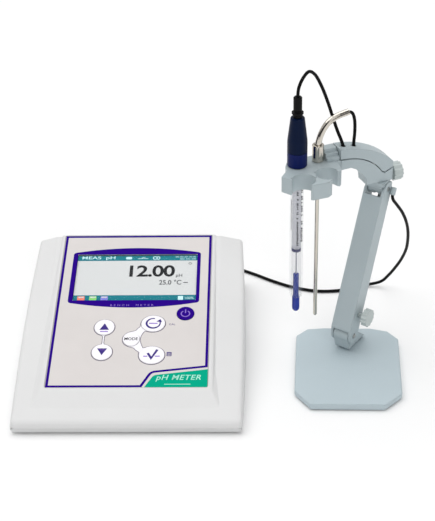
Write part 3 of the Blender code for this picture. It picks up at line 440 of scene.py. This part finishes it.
GREEN = surface(
    "print_green", srgb(0, 166, 134), 0.5, mottle=0.02, grain=0.08, grain_size=0.0004, Specular_IOR_Level=0.02
)
MINT = surface("print_mint", srgb(168, 236, 214), 0.5, mottle=0.02)
KEY_WHITE = surface("key_film_white", srgb(243, 241, 246), 0.42, mottle=0.01, grain=0.08, grain_size=0.0004)
GLASS = surface(
    "display_window", srgb(150, 155, 160), 0.06, mottle=0.01, spread=0.02, Alpha=0.04, IOR=1.49,
    Specular_IOR_Level=0.2,
)
BLACK = surface(
    "black_plastic", srgb(10, 10, 12), 0.45, mottle=0.08, grain=0.2, grain_size=0.0007,
    Specular_IOR_Level=0.12,
)
RUBBER = surface("black_rubber", srgb(24, 24, 25), 0.85, mottle=0.1, grain=0.4, grain_size=0.0008)
LEAD = surface(
    "lead_sheath", srgb(6, 6, 7), 0.4, mottle=0.15, mottle_size=0.01, grain=0.12, grain_size=0.0005,
    Specular_IOR_Level=0.1,
)
STAND = surface(
    "stand_abs", srgb(172, 184, 188), 0.42, mottle=0.02, mottle_size=0.04, grain=0.22,
    grain_size=0.0008, soften=0.8, Specular_IOR_Level=0.4,
)
KNOB = surface(
    "knob_abs", srgb(186, 195, 194), 0.45, mottle=0.02, mottle_size=0.02, grain=0.18, grain_size=0.0007
)
PLATE = surface(
    "plate_paint", srgb(182, 196, 202), 0.5, mottle=0.02, mottle_size=0.05, grain=0.3,
    grain_size=0.0012, soften=1.4, Specular_IOR_Level=0.35,
)
POLISHED = surface(
    "polished_steel", srgb(206, 200, 190), 0.14, 1.0, mottle=0.03, spread=0.05, grain=0.03,
    stretch=(1, 1, 0.05),
)
STEEL = surface(
    "brushed_steel", srgb(184, 184, 182), 0.3, 1.0, mottle=0.05, grain=0.12, stretch=(1.0, 1.0, 0.08)
)
NICKEL = surface("nickel_plate", srgb(200, 196, 186), 0.2, 1.0, mottle=0.04, grain=0.04)
BOARD = surface("circuit_board", srgb(24, 92, 52), 0.5, mottle=0.25, mottle_size=0.004, grain=0.3)
CAP = surface(
    "cap_navy", srgb(0, 18, 50), 0.3, mottle=0.08, mottle_size=0.01, grain=0.1, grain_size=0.0006,
    Specular_IOR_Level=0.1,
)
BAND = surface(
    "cap_violet_navy", srgb(12, 26, 84), 0.3, mottle=0.08, mottle_size=0.01, grain=0.1, grain_size=0.0006,
    Specular_IOR_Level=0.1,
)
TUBE = surface(
    "electrode_tube", srgb(160, 165, 178), 0.06, mottle=0.01, spread=0.02, soften=0.1, Alpha=0.09, IOR=1.5,
    Specular_IOR_Level=0.2,
)
LINER = surface("electrode_filling", srgb(225, 226, 232), 0.3, mottle=0.02, soften=0.1, Alpha=0.55)
BLUE = surface(
    "blue_glass", srgb(6, 40, 150), 0.15, mottle=0.1, mottle_size=0.006, soften=0.1, Coat_Weight=0.3
)
SEAL = surface("blue_seal", srgb(48, 46, 96), 0.3, mottle=0.05, soften=0.1)
SILVER = surface("silver_wire", srgb(170, 170, 178), 0.3, 1.0, mottle=0.05, soften=0.05)


def glow(name, color, strength=0.35):
    """A lit area of the display."""
    mat = surface(name, color, 0.5, mottle=0.004, Specular_IOR_Level=0.02)
    shader = mat.node_tree.nodes["Principled BSDF"]
    shader.inputs["Emission Color"].default_value = color
    shader.inputs["Emission Strength"].default_value = strength
    return mat


LCD_WHITE = glow("lcd_white", srgb(215, 217, 217), 0.12)
LCD_TEAL = glow("lcd_teal", srgb(0, 122, 136), 0.12)
LCD_PALE = glow("lcd_pale", srgb(190, 228, 230))
LCD_INK = glow("lcd_ink", srgb(14, 15, 16), 0.0)
LCD_GREY = glow("lcd_grey", srgb(84, 86, 90), 0.0)
LCD_RED = glow("lcd_red", srgb(226, 120, 100))
LCD_GREEN = glow("lcd_green", srgb(130, 200, 110))
LCD_VIOLET = glow("lcd_violet", srgb(120, 120, 205))

FINISHES = {
    "top_case": CASE,
    "bottom_case": CASE_LOW,
    "main_board": BOARD,
    "key_board": BOARD,
    "display_module": BLACK,
    "panel_overlay": FILM,
    "display_window": GLASS,
    "key_power": PURPLE,
    "bnc_socket": NICKEL,
    "temp_socket": NICKEL,
    "dc_jack": BLACK,
    "usb_port": STEEL,
    "base_plate": PLATE,
    "base_pad": RUBBER,
    "level_link": STEEL,
    "balance_spring": STEEL,
    "lower_knob": KNOB,
    "upper_knob": KNOB,
    "electrode_body": TUBE,
    "electrode_bulb": BLUE,
    "electrode_seal": SEAL,
    "cap_band": BAND,
    "electrode_cap": CAP,
    "electrode_strain_relief": BLACK,
    "probe_shaft": POLISHED,
    "probe_ferrule": POLISHED,
    "probe_handle": POLISHED,
    "lead_splitter": BLACK,
    "lead_gland": STAND,
    "bnc_plug": NICKEL,
    "temp_plug": BLACK,
}
# finishes of nodes that share a part of their name; the stand's plastic covers the rest
KINDS = (("key_", KEY_WHITE), ("meter_foot", RUBBER), ("case_screw", STEEL), ("_pin", STEEL), ("lead", LEAD))
for node, obj in NODES.items():
    finish = FINISHES.get(node)
    if finish is None:
        finish = next((mat for part, mat in KINDS if part in node), STAND)
    obj.data.materials.clear()
    obj.data.materials.append(finish)


# ---------------------------------------------------------------- leads
def lead_points(matrix, route):
    spacing = 1.5
    return smooth_path([at(matrix, p) for p in route], spacing * MM)


def coil_points():
    """Four turns and a part, wound outer, inner, inner, outer, outer, a diameter from their neighbours."""
    outer = 16.85
    apart = LEAD_D + 0.1
    inner = outer - apart
    base = 1.6
    lays = (
        (outer, base), (inner, base), (inner, base + apart), (outer, base + apart), (outer, base + 2 * apart),
    )
    whole = 300.0                 # degrees of a turn before the lead changes over to the next
    change = 30.0
    last_part = 135.0
    step = 15.0

    def on_coil(radius, degrees, height):
        angle = math.radians(degrees)
        return (COIL_AT[0] + radius * math.cos(angle), COIL_AT[1] + radius * math.sin(angle), height)

    points = []
    for i, (radius, height) in enumerate(lays):
        start = -75.0 - (whole + change) * i
        last = i == len(lays) - 1
        turn = last_part if last else whole
        steps = round(turn / step)
        points += [on_coil(radius, start - turn * k / steps, height) for k in range(steps + 1)]
        if not last:
            between = ((radius + lays[i + 1][0]) / 2, (height + lays[i + 1][1]) / 2)
            points.append(on_coil(between[0], start - turn - change / 2, between[1]))
    return points


COIL_EXIT = ((12.0, 259.0, 6.2), (6.0, 260.4, 3.8), (1.6, 262.2, 2.4))

electrode_path = lead_points(NECK, ELECTRODE_LEAD)
electrode_lead = sweep("electrode_flex", electrode_path, LEAD_D / 2 * MM, LEAD)
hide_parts("electrode_lead")
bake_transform(electrode_lead)

probe_path = lead_points(NECK, PROBE_LEAD)
probe_lead = sweep("probe_flex", probe_path, LEAD_D / 2 * MM, LEAD)
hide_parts("probe_lead")
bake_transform(probe_lead)

main_path = lead_points(METER, MAIN_LEAD + tuple(coil_points()) + COIL_EXIT)
main_lead = sweep("main_flex", main_path, LEAD_D / 2 * MM, LEAD)
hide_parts("main_lead", "main_lead_coil")
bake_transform(main_lead)

for tail_name, route, node, plug in (
    ("bnc_flex", BNC_TAIL, "bnc_lead_tail", "bnc_plug"),
    ("temp_flex", TEMP_TAIL, "temp_lead_tail", "temp_plug"),
):
    path = lead_points(METER, route)
    tail = sweep(tail_name, path, TAIL_D / 2 * MM, LEAD)
    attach(tail, ROOT)
    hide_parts(node)


# ---------------------------------------------------------------- display
PRINT = 0.06                  # thickness of a printed layer
LCD = (-56.2, 105.8, 53.4, 166.8)
STAGE = -1.6                  # face of the display module under the window
BAR_LOW = 113.9
BAR_HIGH = 159.8


def shown(level):
    """The two heights of a layer of the display picture."""
    return STAGE + 0.02 + level * 0.05, STAGE + 0.06 + level * 0.05


def display_picture():
    flat("lcd_backlight", [rectangle(*LCD)], *shown(0), LCD_WHITE)
    flat("lcd_top_bar", [rectangle(LCD[0], BAR_HIGH, LCD[2], LCD[3])], *shown(1), LCD_TEAL)
    flat("lcd_bottom_bar", [rectangle(LCD[0], LCD[1], LCD[2], BAR_LOW)], *shown(1), LCD_TEAL)
    words("lcd_reading", "12.00", (-7.8, 138.0, 33.4, 153.4), *shown(2), LCD_INK, weight=0.022, spacing=0.94)
    words("lcd_unit", "pH", (34.6, 136.6, 40.2, 141.6), *shown(2), LCD_GREY, weight=0.01)
    words("lcd_temperature", "25.0 °C", (19.7, 127.4, 39.7, 133.8), *shown(2), LCD_GREY, weight=0.012)
    words("lcd_mode", "MEAS  pH", (-52.4, 160.7, -22.0, 166.0), *shown(2), LCD_PALE, weight=0.015)
    for i, (left, mat) in enumerate(((-52.4, LCD_RED), (-41.8, LCD_GREEN), (-31.6, LCD_VIOLET))):
        flat(f"lcd_icon_{i}", [rectangle(left, 107.2, left + 6.6, 112.6, 0.8)], *shown(2), mat)
        mark = rectangle(left + 0.8, 110.4, left + 5.8, 112.0, 0.3)
        flat(f"lcd_icon_mark_{i}", [mark], *shown(3), LCD_WHITE)
    flat("lcd_icon_right", [rectangle(37.4, 107.4, 42.0, 112.4, 0.5)], *shown(2), LCD_PALE)
    words("lcd_corner_text", "100%", (43.8, 108.2, 51.4, 111.4), *shown(2), LCD_PALE)
    dot = (47.0, 155.6)
    flat("lcd_dot", [arc(dot, 1.5, 0, 348, 30), arc(dot, 1.0, 0, 348, 30)], *shown(2), LCD_GREY)
    flat("lcd_dash", [rectangle(41.6, 129.6, 45.6, 130.6)], *shown(2), LCD_GREY)
    for i, (text, left, bottom) in enumerate((("00-00-00 00:00", 33.4, 163.8), ("00-00-00 ", 37.6, 160.9))):
        words(f"lcd_clock_{i}", text, (left, bottom, 52.0, bottom + 1.9), *shown(2), LCD_PALE)
    link = [(-1.4, 162.9), (2.0, 162.9), (3.2, 164.4), (5.6, 164.4), (5.6, 163.9), (3.5, 163.9)]
    link += [(2.8, 162.9), (8.2, 162.9), (8.2, 162.3), (-1.4, 162.3)]
    flat("lcd_link_icon", [link[::-1]], *shown(2), LCD_PALE)
    flat("lcd_left_icon", [rectangle(-12.2, 161.6, -6.6, 165.0, 1.2)], *shown(2), LCD_PALE)
    ring = [rectangle(12.6, 161.2, 19.2, 165.4, 1.6), rectangle(13.4, 162.0, 18.4, 164.6, 1.0)]
    flat("lcd_ring_icon", ring, *shown(2), LCD_PALE)
    flat("lcd_ring_mark", [rectangle(15.4, 162.6, 17.2, 164.0, 0.3)], *shown(2), LCD_PALE)


def panel_prints():
    inked = (PRINT, PRINT + 0.03)     # heights of ink on top of another print
    border_width = 2.3
    flat("print_display_frame", [bulged_frame(), rectangle(*LCD)], 0.0, PRINT, PURPLE)
    words(
        "print_frame_words", "BENCH  METER", (-22.0, 98.2, 16.4, 100.4), *inked, PURPLE_PALE, spacing=1.6
    )
    corner = arc((22.6, 12.0), 5.2, 156, 98, 6)
    border = [(-69.5, 0.4), (11.2, 0.4), *corner, (66.0, 23.2), (66.0, 192.7), (-69.5, 192.7)]
    flat("print_border", [border, offset(border, -border_width)], 0.0, PRINT, PURPLE)
    tag_corner = arc((24.0, 9.4), 5.2, 156, 98, 6)
    tag = [(13.4, 0.3), (66.2, 0.3), (66.2, 20.9), *tag_corner[::-1]]
    flat("print_tag", [tag], 0.0, PRINT, GREEN)
    words(
        "print_tag_words", "pH METER", (22.6, 6.8, 60.6, 14.4), *inked, MINT, shear=0.25, spacing=1.1,
        weight=0.012,
    )
    flat("print_tag_rule", [rectangle(30.0, 3.3, 52.0, 4.1)], *inked, MINT)


def bulged_frame():
    """Outline of the printed frame round the display, with swelling long sides."""
    left, right = -60.3, 56.5
    low, high = 102.2, 169.6
    radius = 3.2
    swell = 5.9
    count = 16
    middle = ((left + right) / 2, (low + high) / 2)
    half = ((right - left) / 2 - radius, (high - low) / 2 - radius)
    points = []
    for sx, sy, start in CORNERS:
        centre = (middle[0] + sx * half[0], middle[1] + sy * half[1])
        points += arc(centre, radius, start + 4, start + 86, 5)
        if start in (0, 180):
            for i in range(1, count):
                across = 1 - 2 * i / count
                reach = (high - low) / 2 + swell * (1 - across**2)
                points.append((middle[0] + sx * across * half[0], middle[1] + sy * reach))
    return points


# ---------------------------------------------------------------- keys
GAP = 0.25                    # between a key and the field printed round it
# ellipses (x, distance up the panel, half width, half height) that join the three command keys
COMMAND_BRIDGES = [(6.6, 67.4, 2.9, 3.6), (3.2, 62.6, 4.0, 3.6), (6.0, 46.4, 2.9, 3.6), (3.0, 51.0, 4.0, 3.6)]


def key_in_panel(node):
    """Centre, half width and half height of a key in the panel's frame, and the height of its top."""
    back = PANEL.inverted()
    points = [back @ v.co / MM for v in NODES[node].data.vertices]
    lows = [min(p[i] for p in points) for i in range(3)]
    highs = [max(p[i] for p in points) for i in range(3)]
    return (
        ((lows[0] + highs[0]) / 2, (lows[1] + highs[1]) / 2),
        ((highs[0] - lows[0]) / 2, (highs[1] - lows[1]) / 2),
        highs[2],
    )


def key_prints():
    keys = {name: key_in_panel(name) for name in NODES if name.startswith("key_") and name != "key_board"}
    rim = 0.4                     # printed rim round a key

    def lobe(name):
        centre, half = keys[name][:2]
        return (*centre, half[0] + rim, half[1] + rim)

    def field(name, members, bridges, blend):
        lobes = [lobe(key) for key in members] + bridges
        first = lobes[0]
        outline = blob((first[0] + first[2], first[1]), lobes, blend)
        holes = []
        for key in members:
            centre, half = keys[key][:2]
            half_w, half_h = half[0] + GAP, half[1] + GAP
            holes.append(arc(centre, half_w, 0, 354, 59, half_h / half_w))
        flat(f"{name}_field", [outline, *holes], 0.0, PRINT, KEY_WHITE)
        flat(f"{name}_outline", [offset(outline, 0.3), offset(outline, -0.3)], 0.0, PRINT + 0.02, OUTLINE)

    up, down = keys["key_up"][0], keys["key_down"][0]
    waist = ((up[0] + down[0]) / 2, (up[1] + down[1]) / 2)
    field("arrow_keys", ("key_up", "key_down"), [(*waist, 0.8, 4.5)], 1.7)
    field("command_keys", ("key_range", "key_mode", "key_enter"), COMMAND_BRIDGES, 1.5)

    def on_key(name, piece, outlines, mat=PURPLE_ICON):
        top = keys[name][2]
        flat(piece, outlines, top - 0.02, top + 0.05, mat, body=f"{name}_body")

    x, t = up
    on_key("key_up", "icon_up", [[(x - 4.2, t - 3.4), (x + 4.2, t - 3.4), (x, t + 4.6)]])
    on_key("key_up", "icon_up_bar", [rectangle(x - 3.4, t - 6.0, x + 3.4, t - 4.9)], PURPLE_PALE)
    x, t = down
    on_key("key_down", "icon_down", [[(x - 4.3, t + 4.2), (x, t - 3.8), (x + 4.3, t + 4.2)]])
    on_key("key_down", "icon_down_bar", [rectangle(x - 2.6, t + 2.2, x + 2.6, t + 3.0)], PURPLE_PALE)
    x, t = keys["key_range"][0]
    on_key(
        "key_range", "icon_turn", [arc((x, t), 6.6, 80, 380, 40) + arc((x + 0.3, t + 0.3), 5.2, 380, 80, 40)]
    )
    on_key("key_range", "icon_turn_head", [[(x + 2.8, t + 2.4), (x + 7.6, t + 1.2), (x + 6.2, t + 5.2)]])
    on_key("key_range", "icon_turn_bar", [rectangle(x - 3.6, t - 0.6, x + 3.8, t + 0.6)], PURPLE_PALE)
    x, t = keys["key_mode"][0]
    top = keys["key_mode"][2]
    words(
        "icon_mode", "MODE", (x - 5.8, t - 1.7, x + 5.8, t + 1.7), top - 0.02, top + 0.05, INK,
        body="key_mode_body", weight=0.015,
    )
    x, t = keys["key_enter"][0]
    tick = [(x - 4.4, t + 1.8), (x - 2.4, t + 2.6), (x - 0.2, t - 2.0)]
    tick += [(x + 3.6, t + 6.6), (x + 5.6, t + 5.8), (x - 0.4, t - 6.0)]
    on_key("key_enter", "icon_tick", [tick[::-1]])
    on_key("key_enter", "icon_tick_left", [rectangle(x - 7.0, t - 2.2, x - 3.6, t - 1.0)], PURPLE_PALE)
    on_key("key_enter", "icon_tick_right", [rectangle(x + 2.8, t - 2.2, x + 7.0, t - 1.0)], PURPLE_PALE)
    x, t = keys["key_power"][0]
    ring = arc((x, t - 0.6), 4.2, 122, 418, 36) + arc((x, t - 0.6), 3.2, 418, 122, 36)
    on_key("key_power", "icon_power", [ring], PURPLE_PALE)
    on_key("key_power", "icon_power_bar", [rectangle(x - 0.5, t, x + 0.5, t + 4.8)], PURPLE_PALE)
    words("print_cal", "CAL", (31.2, 74.0, 36.6, 76.0), 0.0, PRINT, PURPLE_ICON)
    printer = [rectangle(30.6, 36.4, 34.8, 41.2, 0.4)] + [
        rectangle(31.2, 37.0 + 1.3 * i, 34.2, 37.6 + 1.3 * i)[::-1] for i in range(3)
    ]
    flat("print_printer", printer, 0.0, PRINT, PURPLE_ICON)


# ---------------------------------------------------------------- electrode details
def electrode_details():
    low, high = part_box("electrode_body")
    axis = ((low + high) / 2).xy
    radius = (high.x - low.x) / 2 / MM
    body = "electrode"
    rod("electrode_filling", axis, 3.9, 103.0, high.z / MM - 4, LINER, body, 32)
    rod("silver_wire", axis, 0.5, 76.2, 99.8, SILVER, body, 12)
    marks = random.Random(7)
    shape = bmesh.new()
    reach = (radius + 0.03) * MM

    def patch(start, end, bottom, top):
        """A mark on the tube between two angles in degrees, 0 facing the front, and two heights."""
        steps = max(1, round((end - start) / 8))
        rows = []
        for height in (bottom, top):
            row = []
            for k in range(steps + 1):
                angle = math.radians(start + (end - start) * k / steps)
                spot = (axis.x + reach * math.sin(angle), axis.y - reach * math.cos(angle), height * MM)
                row.append(shape.verts.new(spot))
            rows.append(row)
        for k in range(steps):
            shape.faces.new((rows[0][k], rows[0][k + 1], rows[1][k + 1], rows[1][k]))

    stroke = 7
    for start, end, bottom, top in ((-3, 17, 108.0, 160.0), (36, 62, 111.0, 162.0)):
        height = bottom
        while height < top:
            size = marks.uniform(0.9, 2.2)
            if marks.random() < 0.82:
                left = start + marks.uniform(0.0, 5.0)
                patch(left, end - marks.uniform(0.0, 5.0), height, height + size * 0.6)
                patch(left, left + stroke, height, height + size)
            height += size + marks.uniform(0.2, 0.5)
    patch(-56, -50, 122.0, 152.0)
    mesh = bpy.data.meshes.new("electrode_print")
    shape.to_mesh(mesh)
    shape.free()
    new_object("electrode_print", mesh, INK, body)


# ---------------------------------------------------------------- light, floor and camera
def world_light():
    """A pale room, brighter overhead, with soft dark gaps that polished steel needs to look like steel."""
    world = bpy.data.worlds.new("studio")
    bpy.context.scene.world = world
    world.use_nodes = True
    tree = world.node_tree
    background = tree.nodes["Background"]
    place = tree.nodes.new("ShaderNodeTexCoord")
    split = tree.nodes.new("ShaderNodeSeparateXYZ")
    tree.links.new(place.outputs["Generated"], split.inputs["Vector"])

    def ramp(stops, source):
        node = tree.nodes.new("ShaderNodeValToRGB")
        elements = node.color_ramp.elements
        elements[0].position, elements[0].color = stops[0][0], (stops[0][1],) * 3 + (1.0,)
        elements[1].position, elements[1].color = stops[-1][0], (stops[-1][1],) * 3 + (1.0,)
        for position, value in stops[1:-1]:
            elements.new(position).color = (value, value, value, 1.0)
        tree.links.new(source, node.inputs["Fac"])
        return node.outputs["Color"]

    turn = tree.nodes.new("ShaderNodeMath")
    turn.operation = "ARCTAN2"
    tree.links.new(split.outputs["Y"], turn.inputs[0])
    tree.links.new(split.outputs["X"], turn.inputs[1])
    share = tree.nodes.new("ShaderNodeMapRange")
    share.inputs["From Min"].default_value = -math.pi
    share.inputs["From Max"].default_value = math.pi
    tree.links.new(turn.outputs["Value"], share.inputs["Value"])
    gaps = ((0.0, 0.9), (0.1, 0.95), (0.155, 0.08), (0.2, 0.08), (0.235, 1.0))
    gaps += ((0.33, 1.0), (0.37, 0.1), (0.43, 0.1), (0.48, 0.95), (1.0, 0.9))
    around = ramp(gaps, share.outputs["Result"])
    above = ramp(((0.0, 0.5), (0.25, 0.62), (0.6, 0.95), (1.0, 1.0)), split.outputs["Z"])
    mix = tree.nodes.new("ShaderNodeMix")
    mix.data_type = "RGBA"
    mix.blend_type = "MULTIPLY"
    mix.inputs["Factor"].default_value = 1.0
    tree.links.new(around, mix.inputs["A"])
    tree.links.new(above, mix.inputs["B"])
    tree.links.new(mix.outputs["Result"], background.inputs["Color"])
    background.inputs["Strength"].default_value = 0.85


def sun_light(name, way, strength, angle):
    light = bpy.data.lights.new(name, "SUN")
    light.energy = strength
    light.angle = math.radians(angle)
    obj = bpy.data.objects.new(name, light)
    obj.rotation_mode = "QUATERNION"
    obj.rotation_quaternion = Vector(way).to_track_quat("-Z", "Y")
    bpy.context.scene.collection.objects.link(obj)


def floor():
    mesh = bpy.data.meshes.new("floor")
    shape = bmesh.new()
    bmesh.ops.create_grid(shape, x_segments=1, y_segments=1, size=6.0)
    shape.to_mesh(mesh)
    shape.free()
    white = (0.92, 0.92, 0.92, 1.0)
    pale = surface("floor_paper", white, 0.9, mottle=0.004, mottle_size=0.5, Specular_IOR_Level=0.1)
    new_object("floor", mesh, pale, None)


def camera():
    """The view that the object was photographed from."""
    pitch, yaw, roll = math.radians(32.0), math.radians(-1.96), math.radians(-1.36)
    ahead = Vector((math.sin(yaw) * math.cos(pitch), math.cos(yaw) * math.cos(pitch), -math.sin(pitch)))
    right = Vector((math.cos(yaw), -math.sin(yaw), 0.0))
    up = right.cross(ahead)
    across = right * math.cos(roll) + up * math.sin(roll)
    above = -right * math.sin(roll) + up * math.cos(roll)
    lens = bpy.data.cameras.new("camera")
    lens.lens = 99.7
    lens.sensor_width = 36.0
    lens.clip_start = 0.05
    lens.clip_end = 30.0
    obj = bpy.data.objects.new("camera", lens)
    obj.matrix_world = columns(across, above, -ahead, at(METER, (110.0, -924.0, 746.0)))
    bpy.context.scene.collection.objects.link(obj)
    bpy.context.scene.camera = obj


display_picture()
panel_prints()
key_prints()
electrode_details()
floor()
world_light()
sun_light("overhead_light", (0.25, -0.2, -1.0), 1.4, 70.0)
sun_light("front_light", (-0.3, 0.85, -0.45), 0.7, 50.0)
camera()
bpy.context.scene.view_settings.view_transform = "Standard"
